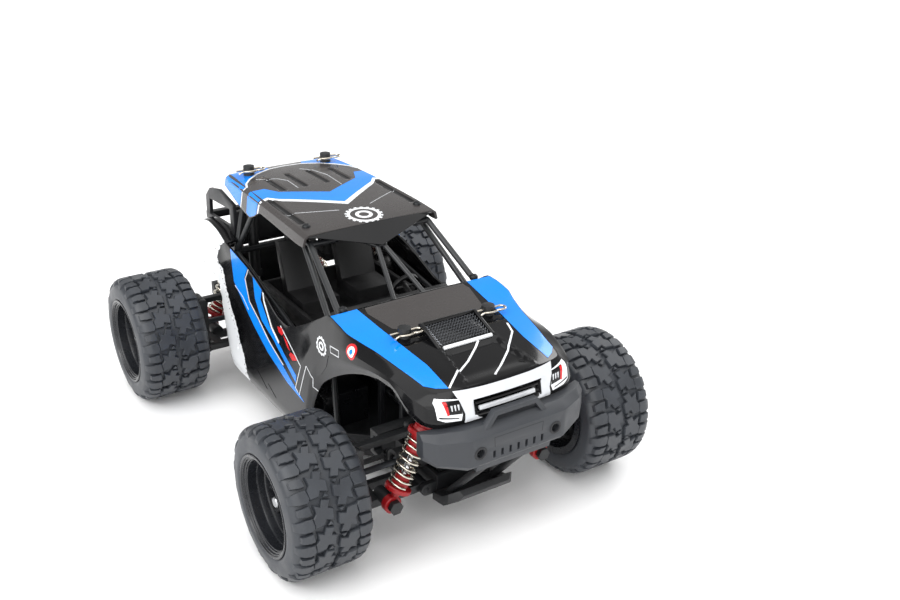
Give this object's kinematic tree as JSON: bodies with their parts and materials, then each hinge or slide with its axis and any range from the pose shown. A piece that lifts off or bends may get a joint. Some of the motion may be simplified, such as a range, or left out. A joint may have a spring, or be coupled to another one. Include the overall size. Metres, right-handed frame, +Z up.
{
  "type": "remote control car",
  "caption": "Four-wheel-drive off-road remote control truck with block-tread tyres, sprung arms, bumper, caged cab and painted shell.",
  "frame": {"origin": "on the ground under the middle of the overall length and width", "axes": "+X forward, +Y to the car's left, +Z up"},
  "size_m": [0.274, 0.194, 0.1287],
  "materials": {
    "chassis_black": "moulded nylon, fine texture",
    "suspension_black": "moulded nylon, slight sheen",
    "tyre_rubber": "soft block-tread rubber",
    "rim_black": "gloss black moulding",
    "shaft_steel": "turned steel",
    "shock_red": "red moulding",
    "spring_steel": "bright spring wire",
    "bumper_grey": "matte dark grey moulding",
    "motor_can": "plated can",
    "pinion_brass": "brass",
    "battery_wrap": "heat-shrink wrap",
    "board_case": "moulded case",
    "servo_case": "moulded case",
    "shell_paint": "painted clear shell, gloss black and blue",
    "roof_paint": "painted clear shell, gloss grey and blue",
    "cage_black": "moulded cage, satin",
    "interior_black": "formed tray, satin",
    "deck_black": "formed panel, satin",
    "clip_chrome": "bright wire",
    "switch_black": "moulded knob"
  },
  "bodies": {
    "chassis": {"chassis_tub": "chassis_black", "gearbox_cases": "chassis_black", "shock_towers": "chassis_black", "front_bumper": "bumper_grey", "skid_plates": "bumper_grey", "drive_motor": "motor_can", "battery_pack": "battery_wrap", "control_board": "board_case", "steering_servo": "servo_case", "body_shell": "shell_paint", "roof_panel": "roof_paint", "roll_cage": "cage_black", "cockpit_tray": "interior_black", "rear_deck": "deck_black", "body_fasteners": "clip_chrome"},
    "centre_shaft": {"centre_shaft": "shaft_steel"},
    "motor_pinion": {"motor_pinion": "pinion_brass"},
    "servo_horn": {"servo_horn": "servo_case"},
    "steering_rack": {"steering_rack": "suspension_black"},
    "power_switch": {"power_switch": "switch_black"},
    "lower_arm_front_left": {"lower_arm_front_left": "suspension_black"},
    "hub_carrier_front_left": {"hub_carrier_front_left": "suspension_black"},
    "wheel_front_left": {"tyre_front_left": "tyre_rubber", "wheel_rim_front_left": "rim_black"},
    "upper_link_front_left": {"upper_link_front_left": "suspension_black"},
    "driveshaft_front_left": {"driveshaft_front_left": "shaft_steel"},
    "shock_cylinder_front_left": {"shock_cylinder_front_left": "shock_red", "shock_spring_front_left": "spring_steel"},
    "shock_rod_front_left": {"shock_rod_front_left": "shock_red"},
    "steering_knuckle_front_left": {"steering_knuckle_front_left": "suspension_black"},
    "tie_rod_front_left": {"tie_rod_front_left": "suspension_black"},
    "lower_arm_front_right": {"lower_arm_front_right": "suspension_black"},
    "hub_carrier_front_right": {"hub_carrier_front_right": "suspension_black"},
    "wheel_front_right": {"tyre_front_right": "tyre_rubber", "wheel_rim_front_right": "rim_black"},
    "upper_link_front_right": {"upper_link_front_right": "suspension_black"},
    "driveshaft_front_right": {"driveshaft_front_right": "shaft_steel"},
    "shock_cylinder_front_right": {"shock_cylinder_front_right": "shock_red", "shock_spring_front_right": "spring_steel"},
    "shock_rod_front_right": {"shock_rod_front_right": "shock_red"},
    "steering_knuckle_front_right": {"steering_knuckle_front_right": "suspension_black"},
    "tie_rod_front_right": {"tie_rod_front_right": "suspension_black"},
    "lower_arm_rear_left": {"lower_arm_rear_left": "suspension_black"},
    "hub_carrier_rear_left": {"hub_carrier_rear_left": "suspension_black"},
    "wheel_rear_left": {"tyre_rear_left": "tyre_rubber", "wheel_rim_rear_left": "rim_black"},
    "upper_link_rear_left": {"upper_link_rear_left": "suspension_black"},
    "driveshaft_rear_left": {"driveshaft_rear_left": "shaft_steel"},
    "shock_cylinder_rear_left": {"shock_cylinder_rear_left": "shock_red", "shock_spring_rear_left": "spring_steel"},
    "shock_rod_rear_left": {"shock_rod_rear_left": "shock_red"},
    "lower_arm_rear_right": {"lower_arm_rear_right": "suspension_black"},
    "hub_carrier_rear_right": {"hub_carrier_rear_right": "suspension_black"},
    "wheel_rear_right": {"tyre_rear_right": "tyre_rubber", "wheel_rim_rear_right": "rim_black"},
    "upper_link_rear_right": {"upper_link_rear_right": "suspension_black"},
    "driveshaft_rear_right": {"driveshaft_rear_right": "shaft_steel"},
    "shock_cylinder_rear_right": {"shock_cylinder_rear_right": "shock_red", "shock_spring_rear_right": "spring_steel"},
    "shock_rod_rear_right": {"shock_rod_rear_right": "shock_red"}
  },
  "joints": [
    {"name": "arm_swing_front_left", "type": "hinge", "parent": "chassis", "child": "lower_arm_front_left", "pos_m": [0.0847, 0.02, 0.022], "axis": [1, 0, 0], "range_deg": [-8, 14], "stiffness_Nm_per_rad": 1.2, "springref_deg": -2.58},
    {"name": "carrier_level_front_left", "type": "hinge", "parent": "lower_arm_front_left", "child": "hub_carrier_front_left", "pos_m": [0.0847, 0.052, 0.022], "axis": [1, 0, 0], "range_deg": [-16, 16]},
    {"name": "link_swing_front_left", "type": "hinge", "parent": "chassis", "child": "upper_link_front_left", "pos_m": [0.0847, 0.02, 0.049], "axis": [1, 0, 0], "range_deg": [-16, 16]},
    {"name": "driveshaft_swing_front_left", "type": "hinge", "parent": "chassis", "child": "driveshaft_front_left", "pos_m": [0.0847, 0.028, 0.035], "axis": [1, 0, 0], "range_deg": [-16, 16]},
    {"name": "shock_swing_front_left", "type": "hinge", "parent": "chassis", "child": "shock_cylinder_front_left", "pos_m": [0.0997, 0.0206, 0.068], "axis": [1, 0, 0], "range_deg": [-4, 4]},
    {"name": "shock_stroke_front_left", "type": "slide", "parent": "shock_cylinder_front_left", "child": "shock_rod_front_left", "axis": [0, 0.4338, -0.901], "range_m": [-0.0065, 0.0045], "deforming": ["shock_spring_front_left"]},
    {"name": "knuckle_steer_front_left", "type": "hinge", "parent": "hub_carrier_front_left", "child": "steering_knuckle_front_left", "pos_m": [0.0847, 0.06, 0.035], "axis": [0, 0, 1], "range_deg": [-21, 21]},
    {"name": "tie_rod_swing_front_left", "type": "hinge", "parent": "steering_rack", "child": "tie_rod_front_left", "pos_m": [0.0737, 0.028, 0.032], "axis": [1, 0, 0], "range_deg": [-16, 16]},
    {"name": "wheel_spin_front_left", "type": "hinge", "parent": "steering_knuckle_front_left", "child": "wheel_front_left", "pos_m": [0.0847, 0.078, 0.035], "axis": [0, 1, 0], "continuous": true},
    {"name": "arm_swing_front_right", "type": "hinge", "parent": "chassis", "child": "lower_arm_front_right", "pos_m": [0.0847, -0.02, 0.022], "axis": [-1, 0, 0], "range_deg": [-8, 14], "stiffness_Nm_per_rad": 1.2, "springref_deg": -2.58},
    {"name": "carrier_level_front_right", "type": "hinge", "parent": "lower_arm_front_right", "child": "hub_carrier_front_right", "pos_m": [0.0847, -0.052, 0.022], "axis": [-1, 0, 0], "range_deg": [-16, 16]},
    {"name": "link_swing_front_right", "type": "hinge", "parent": "chassis", "child": "upper_link_front_right", "pos_m": [0.0847, -0.02, 0.049], "axis": [-1, 0, 0], "range_deg": [-16, 16]},
    {"name": "driveshaft_swing_front_right", "type": "hinge", "parent": "chassis", "child": "driveshaft_front_right", "pos_m": [0.0847, -0.028, 0.035], "axis": [-1, 0, 0], "range_deg": [-16, 16]},
    {"name": "shock_swing_front_right", "type": "hinge", "parent": "chassis", "child": "shock_cylinder_front_right", "pos_m": [0.0997, -0.0206, 0.068], "axis": [-1, 0, 0], "range_deg": [-4, 4]},
    {"name": "shock_stroke_front_right", "type": "slide", "parent": "shock_cylinder_front_right", "child": "shock_rod_front_right", "axis": [0, -0.4338, -0.901], "range_m": [-0.0065, 0.0045], "deforming": ["shock_spring_front_right"]},
    {"name": "knuckle_steer_front_right", "type": "hinge", "parent": "hub_carrier_front_right", "child": "steering_knuckle_front_right", "pos_m": [0.0847, -0.06, 0.035], "axis": [0, 0, 1], "range_deg": [-21, 21]},
    {"name": "tie_rod_swing_front_right", "type": "hinge", "parent": "steering_rack", "child": "tie_rod_front_right", "pos_m": [0.0737, -0.028, 0.032], "axis": [-1, 0, 0], "range_deg": [-16, 16]},
    {"name": "wheel_spin_front_right", "type": "hinge", "parent": "steering_knuckle_front_right", "child": "wheel_front_right", "pos_m": [0.0847, -0.078, 0.035], "axis": [0, 1, 0], "continuous": true},
    {"name": "arm_swing_rear_left", "type": "hinge", "parent": "chassis", "child": "lower_arm_rear_left", "pos_m": [-0.0973, 0.02, 0.022], "axis": [1, 0, 0], "range_deg": [-8, 14], "stiffness_Nm_per_rad": 1.2, "springref_deg": -2.58},
    {"name": "carrier_level_rear_left", "type": "hinge", "parent": "lower_arm_rear_left", "child": "hub_carrier_rear_left", "pos_m": [-0.0973, 0.052, 0.022], "axis": [1, 0, 0], "range_deg": [-16, 16]},
    {"name": "link_swing_rear_left", "type": "hinge", "parent": "chassis", "child": "upper_link_rear_left", "pos_m": [-0.0973, 0.02, 0.049], "axis": [1, 0, 0], "range_deg": [-16, 16]},
    {"name": "driveshaft_swing_rear_left", "type": "hinge", "parent": "chassis", "child": "driveshaft_rear_left", "pos_m": [-0.0973, 0.028, 0.035], "axis": [1, 0, 0], "range_deg": [-16, 16]},
    {"name": "shock_swing_rear_left", "type": "hinge", "parent": "chassis", "child": "shock_cylinder_rear_left", "pos_m": [-0.1123, 0.0206, 0.068], "axis": [1, 0, 0], "range_deg": [-4, 4]},
    {"name": "shock_stroke_rear_left", "type": "slide", "parent": "shock_cylinder_rear_left", "child": "shock_rod_rear_left", "axis": [0, 0.4338, -0.901], "range_m": [-0.0065, 0.0045], "deforming": ["shock_spring_rear_left"]},
    {"name": "wheel_spin_rear_left", "type": "hinge", "parent": "hub_carrier_rear_left", "child": "wheel_rear_left", "pos_m": [-0.0973, 0.078, 0.035], "axis": [0, 1, 0], "continuous": true},
    {"name": "arm_swing_rear_right", "type": "hinge", "parent": "chassis", "child": "lower_arm_rear_right", "pos_m": [-0.0973, -0.02, 0.022], "axis": [-1, 0, 0], "range_deg": [-8, 14], "stiffness_Nm_per_rad": 1.2, "springref_deg": -2.58},
    {"name": "carrier_level_rear_right", "type": "hinge", "parent": "lower_arm_rear_right", "child": "hub_carrier_rear_right", "pos_m": [-0.0973, -0.052, 0.022], "axis": [-1, 0, 0], "range_deg": [-16, 16]},
    {"name": "link_swing_rear_right", "type": "hinge", "parent": "chassis", "child": "upper_link_rear_right", "pos_m": [-0.0973, -0.02, 0.049], "axis": [-1, 0, 0], "range_deg": [-16, 16]},
    {"name": "driveshaft_swing_rear_right", "type": "hinge", "parent": "chassis", "child": "driveshaft_rear_right", "pos_m": [-0.0973, -0.028, 0.035], "axis": [-1, 0, 0], "range_deg": [-16, 16]},
    {"name": "shock_swing_rear_right", "type": "hinge", "parent": "chassis", "child": "shock_cylinder_rear_right", "pos_m": [-0.1123, -0.0206, 0.068], "axis": [-1, 0, 0], "range_deg": [-4, 4]},
    {"name": "shock_stroke_rear_right", "type": "slide", "parent": "shock_cylinder_rear_right", "child": "shock_rod_rear_right", "axis": [0, -0.4338, -0.901], "range_m": [-0.0065, 0.0045], "deforming": ["shock_spring_rear_right"]},
    {"name": "wheel_spin_rear_right", "type": "hinge", "parent": "hub_carrier_rear_right", "child": "wheel_rear_right", "pos_m": [-0.0973, -0.078, 0.035], "axis": [0, 1, 0], "continuous": true},
    {"name": "rack_slide", "type": "slide", "parent": "chassis", "child": "steering_rack", "axis": [0, 1, 0], "range_m": [-0.0038, 0.0038]},
    {"name": "horn_swing", "type": "hinge", "parent": "chassis", "child": "servo_horn", "pos_m": [0.0537, 0, 0.043], "axis": [0, 0, 1], "range_deg": [-21, 21]},
    {"name": "centre_shaft_spin", "type": "hinge", "parent": "chassis", "child": "centre_shaft", "pos_m": [0.0847, 0, 0.035], "axis": [1, 0, 0], "continuous": true},
    {"name": "motor_spin", "type": "hinge", "parent": "chassis", "child": "motor_pinion", "pos_m": [-0.0453, 0.0198, 0.035], "axis": [1, 0, 0], "continuous": true},
    {"name": "switch_slide", "type": "slide", "parent": "chassis", "child": "power_switch", "axis": [1, 0, 0], "range_m": [-0.002, 0.002]}
  ],
  "couplings": [
    {"joint": "carrier_level_front_left", "follows": "arm_swing_front_left", "ratio": -1},
    {"joint": "link_swing_front_left", "follows": "arm_swing_front_left", "ratio": 1},
    {"joint": "driveshaft_swing_front_left", "follows": "arm_swing_front_left", "ratio": 1},
    {"joint": "shock_swing_front_left", "follows": "arm_swing_front_left", "ratio": 0.1124},
    {"joint": "shock_stroke_front_left", "follows": "arm_swing_front_left", "m_per_rad": -0.020806},
    {"joint": "knuckle_steer_front_left", "follows": "rack_slide", "rad_per_m": -90.909},
    {"joint": "tie_rod_swing_front_left", "follows": "arm_swing_front_left", "ratio": 1},
    {"joint": "wheel_spin_front_left", "follows": "wheel_spin_rear_left", "ratio": 1},
    {"joint": "carrier_level_front_right", "follows": "arm_swing_front_right", "ratio": -1},
    {"joint": "link_swing_front_right", "follows": "arm_swing_front_right", "ratio": 1},
    {"joint": "driveshaft_swing_front_right", "follows": "arm_swing_front_right", "ratio": 1},
    {"joint": "shock_swing_front_right", "follows": "arm_swing_front_right", "ratio": 0.1124},
    {"joint": "shock_stroke_front_right", "follows": "arm_swing_front_right", "m_per_rad": -0.020806},
    {"joint": "knuckle_steer_front_right", "follows": "rack_slide", "rad_per_m": -90.909},
    {"joint": "tie_rod_swing_front_right", "follows": "arm_swing_front_right", "ratio": 1},
    {"joint": "wheel_spin_front_right", "follows": "wheel_spin_rear_left", "ratio": 1},
    {"joint": "carrier_level_rear_left", "follows": "arm_swing_rear_left", "ratio": -1},
    {"joint": "link_swing_rear_left", "follows": "arm_swing_rear_left", "ratio": 1},
    {"joint": "driveshaft_swing_rear_left", "follows": "arm_swing_rear_left", "ratio": 1},
    {"joint": "shock_swing_rear_left", "follows": "arm_swing_rear_left", "ratio": 0.1124},
    {"joint": "shock_stroke_rear_left", "follows": "arm_swing_rear_left", "m_per_rad": -0.020806},
    {"joint": "carrier_level_rear_right", "follows": "arm_swing_rear_right", "ratio": -1},
    {"joint": "link_swing_rear_right", "follows": "arm_swing_rear_right", "ratio": 1},
    {"joint": "driveshaft_swing_rear_right", "follows": "arm_swing_rear_right", "ratio": 1},
    {"joint": "shock_swing_rear_right", "follows": "arm_swing_rear_right", "ratio": 0.1124},
    {"joint": "shock_stroke_rear_right", "follows": "arm_swing_rear_right", "m_per_rad": -0.020806},
    {"joint": "wheel_spin_rear_right", "follows": "wheel_spin_rear_left", "ratio": 1},
    {"joint": "horn_swing", "follows": "rack_slide", "rad_per_m": 90.909},
    {"joint": "centre_shaft_spin", "follows": "wheel_spin_rear_left", "ratio": 3},
    {"joint": "motor_spin", "follows": "wheel_spin_rear_left", "ratio": -8}
  ]
}
